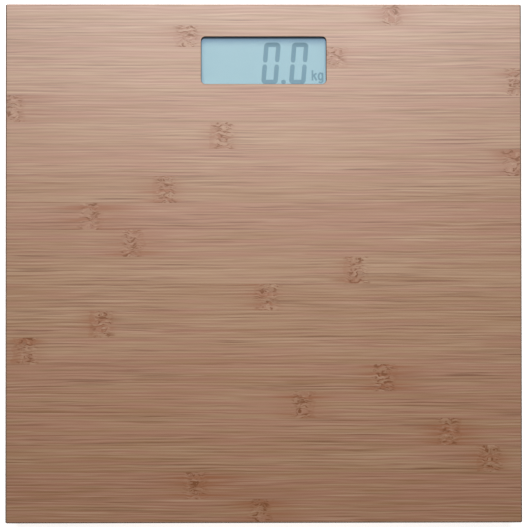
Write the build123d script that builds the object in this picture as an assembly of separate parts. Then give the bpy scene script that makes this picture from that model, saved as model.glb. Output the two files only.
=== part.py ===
from build123d import *
import os
from math import atan2, degrees, hypot, sqrt

# Digital bathroom scale: a bamboo board on four load-cell feet, with a lit
# liquid-crystal display under a window near its rear edge.
# Millimetres. X runs right, Y runs to the rear and Z up from the floor.
# The origin is on the floor under the middle of the board.

# Board
board_width = 300.0
board_depth = 301.5
board_thickness = 10.0
board_corner_radius = 1.0
board_edge_radius = 0.8

# Window in the board, and the wood left over the display pocket
window_width = 72.7
window_depth = 27.5
window_corner_radius = 2.5
window_edge_radius = 0.3
window_rear_margin = 19.0
window_web = 4.5

# Display, from the window down
gasket_thickness = 0.8
gasket_setback = 0.8
lens_thickness = 1.0
lcd_air_gap = 0.2
lcd_side_border = 2.65
lcd_end_border = 2.75
lcd_ledge = 3.0
lcd_fit = 0.2
glass_thickness = 1.1
backlight_thickness = 2.9
led_length = 4.0
led_thickness = 1.4
led_height = 2.0
led_offset = 8.0
led_fit = 0.1
zebra_end_gap = 2.0
zebra_thickness = 2.2
holder_wall = 2.0
holder_corner_radius = 2.0
pocket_clearance = 1.0

# Circuit board
circuit_thickness = 1.6
circuit_rear_margin = 2.0
circuit_screw_inset = 4.0
chip_radius = 7.0
chip_height = 1.4
chip_edge_radius = 0.9
chip_side_inset = 26.0
chip_y_from_window = -6.0
terminal_length = 8.0
terminal_depth = 4.0
terminal_cover = 0.3
terminal_gap = 0.8
front_terminal_inset = 16.0

# Display housing
case_wall = 2.0
case_floor = 2.5
case_corner_radius = 6.0
case_edge_radius = 1.2
case_side_room = 11.0
case_gap = 1.5
under_room = 3.8
boss_radius = 4.5
boss_side_inset = 5.5
boss_rear_inset = 5.2
boss_front_inset = 10.0
boss_front_gap = 3.2
boss_middle_from_circuit = 6.0
post_radius = 2.5

# Battery compartment and its door
coin_radius = 10.0
coin_thickness = 3.2
coin_cap_step = 1.2
coin_cap_height = 0.3
coin_edge_radius = 0.4
coin_fit = 0.3
well_wall = 2.0
well_roof = 1.2
contact_height = 0.9
contact_thickness = 0.4
contact_slot_gap = 0.3
contact_tab = 3.0
positive_width = 6.0
negative_width = 4.0
negative_x = 6.5
negative_reach = 5.0
negative_riser_gap = 1.0
door_width = 30.0
door_depth = 27.0
door_thickness = 2.2
door_gap = 0.3
door_headroom = 0.2
door_deck = 1.5
door_pin_radius = 0.7
door_pin_length = 2.0
door_pin_clearance = 0.06
latch_width = 10.0
latch_length = 7.0
latch_slit = 0.8
latch_nub_radius = 0.2
latch_nub_length = 6.0
scoop_radius = 4.0
scoop_depth = 1.2

# Unit button and its switch
button_side_inset = 16.0
button_y_from_window = -10.0
button_radius = 3.5
button_gap = 0.3
button_flange_width = 1.2
button_flange_thickness = 0.9
button_travel = 0.5
button_overtravel = 0.2
button_dish_radius = 6.0
button_dish_depth = 0.6
switch_size = 6.0
switch_corner_radius = 0.5
switch_lip = 0.4
plunger_radius = 1.5
plunger_head_width = 0.6
plunger_head_height = 0.5
plunger_gap = 0.3
plunger_seat_gap = 0.05

# Load cell and its carrier
cell_size = 34.0
cell_thickness = 2.0
cell_corner_radius = 3.0
cell_frame_width = 4.0
tongue_neck_width = 10.0
tongue_head_length = 11.0
tongue_side_gap = 4.0
gauge_end_gap = 0.5
gauge_side_gap = 1.0
gauge_corner_radius = 1.5
gauge_cover = 0.2
cell_fit = 0.2
carrier_wall = 0.7
carrier_roof = 2.6
carrier_fit = 0.3
clip_length = 6.0
clip_catch = 0.8
clip_root = 1.5
clip_thickness = 1.0
clip_clearance = 0.4

# Foot housing, cup and pad
foot_inset = 36.0
foot_play = 0.5
cell_flex = 0.3
foot_gap = 0.5
foot_stand_out = 1.2
ledge_width = 1.2
housing_wall = 3.0
housing_edge_radius = 1.0
lip_thickness = 1.6
flange_width = 2.0
flange_thickness = 1.6
cup_wall = 2.0
cup_sole = 1.4
cup_boss_radius = 4.0
cup_rib_count = 6
cup_rib_thickness = 1.6
cup_rib_drop = 0.4
pad_rim = 2.0
pad_fit = 0.1
pad_thickness = 1.6
pad_seat_depth = 0.8
pad_edge_radius = 0.3
pad_groove_width = 1.2
pad_groove_depth = 0.4
pad_groove_pitch = 4.0
pad_groove_count = 3
pad_groove_first = 5.0

# Leads and the ducts over them
wire_radius = 0.5
wire_pitch = 1.5
wire_headroom = 0.55
channel_side_room = 0.6
channel_floor_room = 0.2
duct_wall = 1.4
duct_edge_radius = 0.8
duct_gap = 0.3

# Wood screws, and the smaller screws of the circuit board
screw_radius = 1.5
screw_length = 9.0
screw_tip = 2.0
screw_tip_radius = 0.3
screw_head_radius = 2.8
screw_head_height = 1.9
screw_pilot_fit = 0.05
screw_pilot_room = 0.5
screw_hole_gap = 0.2
screw_well_gap = 0.4
ear_thickness = 2.5
ear_radius = 4.5
ear_stand_off = 3.0
ear_angles = (60.0, 180.0, 300.0)
small_screw_radius = 1.0
small_screw_length = 5.0
small_screw_tip = 1.0
small_head_radius = 1.8
small_head_height = 1.2
driver_slot_width = 0.7
driver_slot_share = 0.62
driver_slot_depth = 0.8

# Radii of a foot, from the cell out to the housing and in to the pad
cell_reach = (cell_size / 2 - cell_corner_radius) * sqrt(2) + cell_corner_radius
carrier_radius = cell_reach + cell_fit + carrier_wall
housing_bore = carrier_radius + carrier_fit
housing_radius = housing_bore + housing_wall
travel_bore = carrier_radius - ledge_width
flange_radius = travel_bore - foot_gap
cup_radius = flange_radius - flange_width
pad_radius = cup_radius - pad_rim
ear_distance = housing_radius + ear_stand_off
tongue_opening = cell_size - 2 * cell_frame_width
tongue_head_width = tongue_opening - 2 * tongue_side_gap
gauge_length = (tongue_opening - tongue_head_length) / 2 - 2 * gauge_end_gap
gauge_width = tongue_neck_width - 2 * gauge_side_gap

# Levels of a foot, from the floor up to the board
cup_bottom = pad_thickness - pad_seat_depth
cup_sole_top = pad_thickness + cup_sole
housing_bottom = cup_bottom + foot_stand_out
lip_top = housing_bottom + lip_thickness
flange_bottom = lip_top + foot_play
flange_top = flange_bottom + flange_thickness
ledge_level = flange_top + cell_flex + clip_clearance + clip_thickness
cell_top = ledge_level + cell_thickness
board_bottom = cell_top + carrier_roof
board_top = board_bottom + board_thickness
screw_seat = board_bottom - ear_thickness

# Levels of the display, from the window down to the housing's underside
pocket_ceiling = board_top - window_web
lens_top = pocket_ceiling - gasket_thickness
holder_top = lens_top - lens_thickness
front_glass_top = holder_top - lcd_air_gap
rear_glass_top = front_glass_top - glass_thickness
backlight_top = rear_glass_top - glass_thickness
circuit_top = backlight_top - backlight_thickness
circuit_bottom = circuit_top - circuit_thickness
floor_top = circuit_bottom - under_room
case_bottom = floor_top - case_floor

# Levels of the battery compartment
door_top = case_bottom + door_thickness
deck_bottom = door_top + door_headroom
deck_top = deck_bottom + door_deck
coin_top = deck_bottom + coin_thickness
roof_bottom = coin_top + contact_height
roof_top = roof_bottom + well_roof

# Levels of the button and its switch
button_flange_top = floor_top + button_flange_thickness
switch_bottom = button_flange_top + button_travel + button_overtravel
plunger_head_bottom = switch_bottom + switch_lip + plunger_seat_gap
plunger_top = plunger_head_bottom + plunger_head_height
switch_cavity_top = plunger_top + button_travel + button_overtravel

# Levels of the leads
wire_level = board_bottom - wire_headroom - wire_radius
channel_bottom = wire_level - wire_radius - channel_floor_room
channel_width = 2 * (wire_pitch + wire_radius + channel_side_room)
terminal_top = wire_level + wire_radius + terminal_cover
gauge_top = wire_level + wire_radius + gauge_cover

# Places in plan
window_y = board_depth / 2 - window_rear_margin - window_depth / 2
lcd_width = window_width + 2 * lcd_side_border
lcd_depth = window_depth + lcd_ledge + 2 * lcd_end_border
lcd_y = window_y - lcd_ledge / 2
rear_glass_depth = lcd_depth - lcd_ledge
zebra_length = lcd_width - 2 * zebra_end_gap
holder_width = lcd_width + 2 * (lcd_fit + holder_wall)
holder_depth = lcd_depth + 2 * (lcd_fit + holder_wall)
circuit_width = holder_width + 2 * (terminal_depth + terminal_gap)
circuit_depth = circuit_rear_margin + holder_depth + terminal_depth + 2 * terminal_gap
circuit_rear = lcd_y + holder_depth / 2 + circuit_rear_margin
circuit_front = circuit_rear - circuit_depth
circuit_y = (circuit_front + circuit_rear) / 2
circuit_screw_x = (holder_width + circuit_width) / 4
front_terminal_x = circuit_width / 2 - front_terminal_inset
chip_x = chip_side_inset - circuit_width / 2
button_x = circuit_width / 2 - button_side_inset
well_radius = coin_radius + coin_fit + well_wall
recess_width = door_width + 2 * door_gap
recess_depth = door_depth + 2 * door_gap
deck_width = recess_width + 2 * well_wall
deck_depth = recess_depth + 2 * well_wall
boss_front_x = deck_width / 2 + boss_front_gap + boss_radius
battery_y = circuit_front - negative_riser_gap - deck_depth / 2
door_front = battery_y - door_depth / 2
hinge_y = battery_y + door_depth / 2 - door_thickness / 2
hinge_level = case_bottom + door_thickness / 2
case_rear = circuit_rear + case_gap + case_wall
case_front = battery_y - deck_depth / 2 - case_gap - case_wall
case_width = circuit_width + 2 * case_side_room
case_depth = case_rear - case_front
case_y = (case_front + case_rear) / 2
button_y = window_y + button_y_from_window
chip_y = window_y + chip_y_from_window
gauge_x = (tongue_head_length + tongue_opening) / 4

# How near an edge's points must be to a level to count as on it
level_slack = 0.001


def slab(width, depth, bottom, top, centre=(0.0, 0.0), radius=0.0):
    """Upright plate between two levels, with rounded corners where a radius is given."""
    outline = RectangleRounded(width, depth, radius) if radius else Rectangle(width, depth)
    return Pos(centre[0], centre[1], bottom) * extrude(outline, top - bottom)


def disc(radius, bottom, top, centre=(0.0, 0.0)):
    """Upright round between two levels."""
    return Pos(centre[0], centre[1], (bottom + top) / 2) * Cylinder(radius, top - bottom)


def rod(radius, start, end, y, z):
    """Round bar along X."""
    return Pos((start + end) / 2, y, z) * Rot(0, 90, 0) * Cylinder(radius, end - start)


def edges_at(solid, level):
    """Edges that lie wholly on one level."""
    return solid.edges().filter_by_position(Axis.Z, level - level_slack, level + level_slack)


def screw(radius, length, tip, head_radius, head_height):
    """Cross-slot screw pointing up, its head's seat at the origin."""
    body = disc(radius, 0, length - tip)
    body += Pos(0, 0, length - tip / 2) * Cone(radius, screw_tip_radius, tip)
    head = disc(head_radius, -head_height, 0)
    body += fillet(edges_at(head, -head_height), head_height / 2)
    slot = 2 * head_radius * driver_slot_share
    slot_top = driver_slot_depth - head_height
    body -= slab(slot, driver_slot_width, -head_height, slot_top)
    body -= slab(driver_slot_width, slot, -head_height, slot_top)
    return body


# Each foot stands in a corner with its own X turned to where its leads are soldered
feet = {}
terminals = []
for end_name, end in (("front", -1), ("rear", 1)):
    for side_name, side in (("left", -1), ("right", 1)):
        foot_x = side * (board_width / 2 - foot_inset)
        foot_y = end * (board_depth / 2 - foot_inset)
        if end_name == "front":
            target = (side * front_terminal_x, circuit_front + terminal_depth / 2)
            block = (terminal_length, terminal_depth)
        else:
            target = (side * (circuit_width - terminal_depth) / 2, foot_y)
            block = (terminal_depth, terminal_length)
        away_x = target[0] - foot_x
        away_y = target[1] - foot_y
        turn = degrees(atan2(away_y, away_x))
        place = Pos(foot_x, foot_y, 0) * Rot(0, 0, turn)
        feet[f"{end_name}_{side_name}"] = (place, hypot(away_x, away_y))
        terminals.append(slab(block[0], block[1], circuit_top, terminal_top, target))

ear_spots = []
for place, run in feet.values():
    for angle in ear_angles:
        spot = (place * Rot(0, 0, angle) * Pos(ear_distance, 0, 0)).position
        ear_spots.append((spot.X, spot.Y))

boss_spots = []
for side in (-1, 1):
    boss_x = side * (case_width / 2 - boss_side_inset)
    boss_spots.append((boss_x, case_rear - boss_rear_inset))
    boss_spots.append((boss_x, circuit_front + boss_middle_from_circuit))
    boss_spots.append((side * boss_front_x, case_front + boss_front_inset))

circuit_screw_spots = []
for side in (-1, 1):
    for post_y in (circuit_front + circuit_screw_inset, circuit_rear - circuit_screw_inset):
        circuit_screw_spots.append((side * circuit_screw_x, post_y))


def lead_channel(run):
    """Clear way for one foot's leads, along the foot's own X."""
    return slab(run, channel_width, channel_bottom, board_bottom, (run / 2, 0))


def build_platform():
    """Bamboo board with its window, display pocket and pilot holes."""
    board = slab(board_width, board_depth, board_bottom, board_top, radius=board_corner_radius)
    rims = edges_at(board, board_bottom) + edges_at(board, board_top)
    board = fillet(rims, board_edge_radius)
    board -= slab(window_width, window_depth, pocket_ceiling, board_top,
                  (0, window_y), window_corner_radius)
    window_rim = [edge for edge in edges_at(board, board_top)
                  if abs(edge.center().X) < window_width / 2 + window_edge_radius
                  and abs(edge.center().Y - window_y) < window_depth / 2 + window_edge_radius]
    board = fillet(window_rim, window_edge_radius)
    board -= slab(holder_width + 2 * pocket_clearance, holder_depth + 2 * pocket_clearance,
                  board_bottom, pocket_ceiling, (0, lcd_y), holder_corner_radius + pocket_clearance)
    pilot_top = screw_seat + screw_length + screw_pilot_room
    for spot in ear_spots + boss_spots:
        board -= disc(screw_radius + screw_pilot_fit, board_bottom, pilot_top, spot)
    return board


def build_foot_housing(run):
    """Ring with three screw ears, a lip under the cup's flange and a ledge under the carrier."""
    ring = disc(housing_radius, housing_bottom, board_bottom)
    ring = fillet(edges_at(ring, housing_bottom), housing_edge_radius)
    for angle in ear_angles:
        ear = disc(ear_radius, screw_seat, board_bottom, (ear_distance, 0))
        ear += slab(ear_distance, 2 * ear_radius, screw_seat, board_bottom, (ear_distance / 2, 0))
        ear -= disc(screw_radius + screw_hole_gap, screw_seat, board_bottom, (ear_distance, 0))
        ring += Rot(0, 0, angle) * ear
    ring -= disc(cup_radius + foot_gap, housing_bottom, lip_top)
    ring -= disc(travel_bore, lip_top, ledge_level)
    ring -= disc(housing_bore, ledge_level, board_bottom)
    return ring - lead_channel(run)


def build_cell_carrier(run):
    """Seat that holds the cell's frame against the board and leaves its tongue free."""
    seat = disc(carrier_radius, ledge_level, board_bottom)
    pocket = cell_size + 2 * cell_fit
    seat -= slab(pocket, pocket, ledge_level, cell_top, radius=cell_corner_radius + cell_fit)
    seat -= slab(tongue_opening, tongue_opening, cell_top, board_bottom)
    clip_inner = cell_size / 2 - clip_catch
    clip_outer = pocket / 2 + clip_root
    for side in (-1, 1):
        middle = side * (clip_inner + clip_outer) / 2
        seat += slab(clip_length, clip_outer - clip_inner, ledge_level - clip_thickness,
                     ledge_level, (0, middle))
    return seat - lead_channel(run)


def build_load_cell():
    """Steel plate whose frame is fixed and whose T-shaped tongue bends."""
    neck_length = tongue_opening / 2
    tongue = slab(neck_length, tongue_neck_width, ledge_level, cell_top, (neck_length / 2, 0))
    tongue += slab(tongue_head_length, tongue_head_width, ledge_level, cell_top)
    slot = slab(tongue_opening, tongue_opening, ledge_level, cell_top) - tongue
    return slab(cell_size, cell_size, ledge_level, cell_top, radius=cell_corner_radius) - slot


def build_strain_gauge():
    """Silicone coat over the gauge on the tongue's neck."""
    return slab(gauge_length, gauge_width, cell_top, gauge_top, (gauge_x, 0), gauge_corner_radius)


def build_foot_cup():
    """Cup that carries the pad, with a boss under the cell's tongue."""
    cup = disc(cup_radius, cup_bottom, flange_top)
    cup += disc(flange_radius, flange_bottom, flange_top)
    hollow = cup_radius - cup_wall
    cup -= disc(hollow, cup_sole_top, flange_top)
    cup += disc(cup_boss_radius, cup_sole_top, ledge_level)
    for step in range(cup_rib_count):
        rib = slab(hollow, cup_rib_thickness, cup_sole_top, flange_top - cup_rib_drop, (hollow / 2, 0))
        cup += Rot(0, 0, 360 / cup_rib_count * step) * rib
    return cup - disc(pad_radius + pad_fit, cup_bottom, pad_thickness)


def build_foot_pad():
    """Rubber sole with ring grooves in its underside."""
    pad = disc(pad_radius, 0, pad_thickness)
    pad = fillet(edges_at(pad, 0), pad_edge_radius)
    for step in range(pad_groove_count):
        inner = pad_groove_first + step * pad_groove_pitch
        groove = disc(inner + pad_groove_width, 0, pad_groove_depth)
        pad -= groove - disc(inner, 0, pad_groove_depth)
    return pad


def build_cable_duct(place, run):
    """Cover over one foot's leads, from the foot's housing to the display housing."""
    cover = slab(run, channel_width + 2 * duct_wall, channel_bottom - duct_wall, board_bottom, (run / 2, 0))
    long_rims = edges_at(cover, channel_bottom - duct_wall).filter_by(Axis.X)
    cover = fillet(long_rims, duct_edge_radius) - lead_channel(run)
    cover -= disc(housing_radius + duct_gap, 0, board_bottom)
    return place * cover - slab(case_width + 2 * duct_gap, case_depth + 2 * duct_gap, 0,
                                board_bottom, (0, case_y), case_corner_radius + duct_gap)


def build_cell_wires(place, run):
    """Three leads from the gauge to the edge of the circuit board."""
    circuit_zone = slab(circuit_width, circuit_depth, circuit_bottom, board_bottom, (0, circuit_y))
    leads = []
    for offset in (-wire_pitch, 0, wire_pitch):
        lead = rod(wire_radius, gauge_x + gauge_length / 2, run, offset, wire_level)
        leads.append(place * lead - circuit_zone)
    return Compound(children=leads)


def build_display_housing():
    """Tray under the display, with the battery compartment and the screw bosses."""
    centre = (0, case_y)
    case = slab(case_width, case_depth, case_bottom, board_bottom, centre, case_corner_radius)
    case = fillet(edges_at(case, case_bottom), case_edge_radius)
    case -= slab(case_width - 2 * case_wall, case_depth - 2 * case_wall, floor_top, board_bottom,
                 centre, case_corner_radius - case_wall)
    for spot in boss_spots:
        case += disc(boss_radius, floor_top, board_bottom, spot)
    for spot in boss_spots:
        case -= disc(screw_head_radius + screw_well_gap, case_bottom, screw_seat, spot)
        case -= disc(screw_radius + screw_hole_gap, screw_seat, board_bottom, spot)
    for spot in circuit_screw_spots:
        case += disc(post_radius, floor_top, circuit_bottom, spot)
        case -= disc(small_screw_radius + screw_pilot_fit, floor_top, circuit_bottom, spot)

    middle = (0, battery_y)
    case += slab(deck_width, deck_depth, case_bottom, deck_top, middle)
    case += disc(well_radius, deck_top, roof_top, middle)
    case -= slab(recess_width, recess_depth, case_bottom, deck_bottom, middle)
    case -= disc(coin_radius + coin_fit, deck_bottom, roof_bottom, middle)
    case -= disc(scoop_radius, case_bottom, case_bottom + scoop_depth, (0, door_front))
    socket_end = door_width / 2 + door_pin_length + door_gap
    case -= rod(door_pin_radius + door_pin_clearance, -socket_end, socket_end, hinge_y, hinge_level)

    slot_depth = well_radius - coin_radius + 2 * contact_slot_gap
    slot_y = battery_y + coin_radius + slot_depth / 2 - contact_slot_gap
    case -= slab(positive_width + 2 * contact_slot_gap, slot_depth, deck_bottom + contact_slot_gap,
                 board_bottom, (0, slot_y))
    case -= slab(negative_width + 2 * contact_slot_gap, well_radius,
                 roof_bottom - contact_thickness - contact_slot_gap, roof_bottom,
                 (negative_x, battery_y + negative_reach + well_radius / 2))

    button_spot = (button_x, button_y)
    case -= disc(button_radius + button_gap, case_bottom, floor_top, button_spot)
    case -= disc(button_dish_radius, case_bottom, case_bottom + button_dish_depth, button_spot)
    for place, run in feet.values():
        case -= place * lead_channel(run)
    return case


def build_battery_door():
    """Door that swings down on its own pins, with a sprung latch tongue opposite."""
    hinge_radius = door_thickness / 2
    door = slab(door_width, hinge_y - door_front, case_bottom, door_top, (0, (door_front + hinge_y) / 2))
    door += rod(hinge_radius, -door_width / 2, door_width / 2, hinge_y, hinge_level)
    pin_end = door_width / 2 + door_pin_length
    door += rod(door_pin_radius, -pin_end, pin_end, hinge_y, hinge_level)
    for side in (-1, 1):
        slit_x = side * (latch_width + latch_slit) / 2
        door -= slab(latch_slit, latch_length, case_bottom, door_top, (slit_x, door_front + latch_length / 2))
    return door + rod(latch_nub_radius, -latch_nub_length / 2, latch_nub_length / 2, door_front, hinge_level)


def build_battery():
    """Coin cell, its wide pole down."""
    middle = (0, battery_y)
    can = disc(coin_radius, deck_bottom, coin_top - coin_cap_height, middle)
    can = fillet(edges_at(can, deck_bottom), coin_edge_radius)
    return can + disc(coin_radius - coin_cap_step, coin_top - coin_cap_height, coin_top, middle)


def build_positive_contact():
    """Blade on the coin cell's side, bent over onto the circuit board."""
    blade_y = battery_y + coin_radius
    blade = slab(positive_width, contact_thickness, deck_bottom + 2 * contact_slot_gap,
                 circuit_top + contact_thickness, (0, blade_y + contact_thickness / 2))
    tab_length = circuit_front + contact_tab - blade_y
    return blade + slab(positive_width, tab_length, circuit_top, circuit_top + contact_thickness,
                        (0, blade_y + tab_length / 2))


def build_negative_contact():
    """Leaf with a raised spot over the coin cell, stepped up onto the circuit board."""
    leaf_bottom = roof_bottom - contact_thickness
    leaf_start = battery_y - negative_reach
    riser_y = circuit_front - negative_riser_gap
    tab_end = circuit_front + contact_tab
    leaf = slab(negative_width, riser_y - leaf_start, leaf_bottom, roof_bottom,
                (negative_x, (leaf_start + riser_y) / 2))
    leaf += slab(negative_width, contact_thickness, leaf_bottom, circuit_top + contact_thickness,
                 (negative_x, riser_y - contact_thickness / 2))
    tab_start = riser_y - contact_thickness
    leaf += slab(negative_width, tab_end - tab_start, circuit_top, circuit_top + contact_thickness,
                 (negative_x, (tab_start + tab_end) / 2))
    half = negative_width / 2
    drop = leaf_bottom - coin_top
    spot = rod(drop, negative_x - half, negative_x + half, battery_y, leaf_bottom)
    spot -= slab(negative_width, 2 * drop, leaf_bottom, roof_bottom + drop, (negative_x, battery_y))
    return leaf + spot


def build_circuit_board():
    """Flat board on four posts."""
    board = slab(circuit_width, circuit_depth, circuit_bottom, circuit_top, (0, circuit_y))
    for spot in circuit_screw_spots:
        board -= disc(small_screw_radius + screw_hole_gap, circuit_bottom, circuit_top, spot)
    return board


def build_tact_switch():
    """Switch body under the circuit board, hollow for its plunger."""
    spot = (button_x, button_y)
    head = plunger_radius + plunger_head_width + plunger_gap
    body = slab(switch_size, switch_size, switch_bottom, circuit_bottom, spot, switch_corner_radius)
    body -= disc(plunger_radius + plunger_gap, switch_bottom, switch_bottom + switch_lip, spot)
    return body - disc(head, switch_bottom + switch_lip, switch_cavity_top, spot)


def build_tact_plunger():
    """Plunger between the button and the switch."""
    spot = (button_x, button_y)
    stem = disc(plunger_radius, button_flange_top, plunger_top, spot)
    return stem + disc(plunger_radius + plunger_head_width, plunger_head_bottom, plunger_top, spot)


def build_unit_button():
    """Button flush with the housing's underside, kept in by its flange."""
    spot = (button_x, button_y)
    stem = disc(button_radius, case_bottom, floor_top, spot)
    return stem + disc(button_radius + button_flange_width, floor_top, button_flange_top, spot)


def build_controller_chip():
    """Resin cap over the chip, under the circuit board."""
    cap = disc(chip_radius, circuit_bottom - chip_height, circuit_bottom, (chip_x, chip_y))
    return fillet(edges_at(cap, circuit_bottom - chip_height), chip_edge_radius)


def build_lcd_holder():
    """Frame round the display, from the circuit board up to the lens."""
    frame = slab(holder_width, holder_depth, circuit_top, holder_top, (0, lcd_y), holder_corner_radius)
    return frame - slab(lcd_width + 2 * lcd_fit, lcd_depth + 2 * lcd_fit, circuit_top, holder_top, (0, lcd_y))


def build_lens_gasket():
    """Foam frame between the lens and the wood round the window."""
    frame = slab(holder_width, holder_depth, lens_top, pocket_ceiling, (0, lcd_y), holder_corner_radius)
    return frame - slab(window_width + 2 * gasket_setback, window_depth + 2 * gasket_setback, lens_top,
                        pocket_ceiling, (0, window_y), window_corner_radius + gasket_setback)


led_x = (led_thickness - lcd_width) / 2
led_spots = [(led_x, window_y - led_offset), (led_x, window_y + led_offset)]


def build_backlight_panel():
    """Light guide under the glass, notched for its lamps."""
    panel = slab(lcd_width, rear_glass_depth, circuit_top, backlight_top, (0, window_y))
    for spot in led_spots:
        panel -= slab(led_thickness + 2 * led_fit, led_length + 2 * led_fit, circuit_top,
                      circuit_top + led_height + led_fit, spot)
    return panel


def build_backlight_leds():
    """Two lamps that stand on the circuit board."""
    return Compound(children=[slab(led_thickness, led_length, circuit_top, circuit_top + led_height, spot)
                              for spot in led_spots])


def build_wood_screws(spots):
    """One wood screw in each spot."""
    pattern = screw(screw_radius, screw_length, screw_tip, screw_head_radius, screw_head_height)
    return Compound(children=[Pos(x, y, screw_seat) * pattern for x, y in spots])


def build_circuit_screws():
    """Screws through the circuit board into the housing's posts."""
    pattern = screw(small_screw_radius, small_screw_length, small_screw_tip,
                    small_head_radius, small_head_height)
    return Compound(children=[Pos(x, y, circuit_top) * Rot(180, 0, 0) * pattern
                              for x, y in circuit_screw_spots])


nodes = {
    "platform": build_platform(),
    "foot_screws": build_wood_screws(ear_spots),
    "display_housing": build_display_housing(),
    "housing_screws": build_wood_screws(boss_spots),
    "battery_door": build_battery_door(),
    "battery": build_battery(),
    "battery_contact_positive": build_positive_contact(),
    "battery_contact_negative": build_negative_contact(),
    "circuit_board": build_circuit_board(),
    "circuit_screws": build_circuit_screws(),
    "controller_chip": build_controller_chip(),
    "wire_terminals": Compound(children=terminals),
    "tact_switch": build_tact_switch(),
    "tact_plunger": build_tact_plunger(),
    "unit_button": build_unit_button(),
    "lcd_holder": build_lcd_holder(),
    "lens_gasket": build_lens_gasket(),
    "display_lens": slab(holder_width, holder_depth, holder_top, lens_top, (0, lcd_y), holder_corner_radius),
    "lcd_front_glass": slab(lcd_width, lcd_depth, rear_glass_top, front_glass_top, (0, lcd_y)),
    "lcd_rear_glass": slab(lcd_width, rear_glass_depth, backlight_top, rear_glass_top, (0, window_y)),
    "backlight_panel": build_backlight_panel(),
    "backlight_leds": build_backlight_leds(),
    "zebra_strip": slab(zebra_length, zebra_thickness, circuit_top, rear_glass_top,
                        (0, window_y - rear_glass_depth / 2 - lcd_ledge / 2)),
}
for name, (place, run) in feet.items():
    nodes[f"foot_housing_{name}"] = place * build_foot_housing(run)
    nodes[f"cell_carrier_{name}"] = place * build_cell_carrier(run)
    nodes[f"load_cell_{name}"] = place * build_load_cell()
    nodes[f"strain_gauge_{name}"] = place * build_strain_gauge()
    nodes[f"foot_cup_{name}"] = place * build_foot_cup()
    nodes[f"foot_pad_{name}"] = place * build_foot_pad()
    nodes[f"cell_wires_{name}"] = build_cell_wires(place, run)
    nodes[f"cable_duct_{name}"] = build_cable_duct(place, run)

os.makedirs("parts", exist_ok=True)
for name, shape in nodes.items():
    export_step(shape, f"parts/{name}.step")
print(len(nodes), "nodes")
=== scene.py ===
import bpy, bmesh, math, random
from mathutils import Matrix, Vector


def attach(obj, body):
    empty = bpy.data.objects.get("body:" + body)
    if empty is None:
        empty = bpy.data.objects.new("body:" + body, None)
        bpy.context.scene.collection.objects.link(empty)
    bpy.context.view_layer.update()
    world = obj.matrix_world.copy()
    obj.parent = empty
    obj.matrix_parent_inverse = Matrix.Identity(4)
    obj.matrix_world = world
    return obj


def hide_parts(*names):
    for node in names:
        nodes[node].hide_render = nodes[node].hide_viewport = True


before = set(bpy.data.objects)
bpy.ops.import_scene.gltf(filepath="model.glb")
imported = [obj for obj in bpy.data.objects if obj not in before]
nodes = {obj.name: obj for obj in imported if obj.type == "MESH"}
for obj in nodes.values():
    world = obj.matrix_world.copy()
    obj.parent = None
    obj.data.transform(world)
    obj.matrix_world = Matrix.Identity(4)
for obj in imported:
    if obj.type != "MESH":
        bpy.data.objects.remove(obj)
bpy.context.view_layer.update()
corners = ("front_left", "front_right", "rear_left", "rear_right")
print("frame loaded,", len(nodes), "nodes")


# node helpers: put() makes a node and sets or links its inputs, the others are short forms of it
def put(tree, kind, inputs=None, **settings):
    node = tree.nodes.new(kind)
    for key, value in settings.items():
        setattr(node, key, value)
    for key, value in (inputs or {}).items():
        if isinstance(value, bpy.types.NodeSocket):
            tree.links.new(value, node.inputs[key])
        else:
            node.inputs[key].default_value = value
    return node


def calc(tree, operation, *values, clamp=False):
    node = put(tree, "ShaderNodeMath", dict(enumerate(values)), operation=operation, use_clamp=clamp)
    return node.outputs[0]


def plus(tree, first, *others):
    for other in others:
        first = calc(tree, "ADD", first, other)
    return first


def minus(tree, first, second):
    return calc(tree, "SUBTRACT", first, second)


def times(tree, first, *others):
    for other in others:
        first = calc(tree, "MULTIPLY", first, other)
    return first


def over(tree, first, second):
    return calc(tree, "DIVIDE", first, second)


def larger(tree, first, *others):
    for other in others:
        first = calc(tree, "MAXIMUM", first, other)
    return first


def smaller(tree, first, second):
    return calc(tree, "MINIMUM", first, second)


def unsigned(tree, value):
    return calc(tree, "ABSOLUTE", value)


def signAbove(tree, value, limit):  # 1 above the limit, -1 below it
    return minus(tree, times(tree, calc(tree, "GREATER_THAN", value, limit), 2.0), 1.0)


def fade(tree, value, start, end):  # 0 at start, 1 at end, smooth between
    node = put(tree, "ShaderNodeMapRange", {"Value": value, "From Min": start, "From Max": end},
               interpolation_type="SMOOTHSTEP")
    return node.outputs["Result"]


def spread(tree, value, low, high):  # 0..1 onto low..high
    node = put(tree, "ShaderNodeMapRange", {"Value": value, "To Min": low, "To Max": high})
    return node.outputs["Result"]


def mixColour(tree, amount, first, second, blend="MIX"):
    node = put(tree, "ShaderNodeMix", {0: amount, 6: first, 7: second}, data_type="RGBA", blend_type=blend)
    return node.outputs[2]


def steppedRamp(tree, value, colours):  # as many equal steps as colours
    table = put(tree, "ShaderNodeValToRGB", {0: value})
    ramp = table.color_ramp
    ramp.interpolation = "CONSTANT"
    ramp.elements.remove(ramp.elements[1])
    for i, colour in enumerate(colours):
        stop = ramp.elements.new(i / len(colours)) if i else ramp.elements[0]
        stop.position = i / len(colours)
        stop.color = colour
    return table.outputs[0]


def noise(tree, vector, scale=1.0, detail=2.0, rough=0.5, twist=0.0):
    node = put(tree, "ShaderNodeTexNoise", {"Vector": vector, "Scale": scale, "Detail": detail,
                                            "Roughness": rough, "Distortion": twist})
    return node.outputs[0]


def cells(tree, vector, scale=1.0, scatter=1.0, feature="F1"):
    node = put(tree, "ShaderNodeTexVoronoi", {"Vector": vector, "Scale": scale, "Randomness": scatter},
               feature=feature)
    return node.outputs["Distance"]


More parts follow.
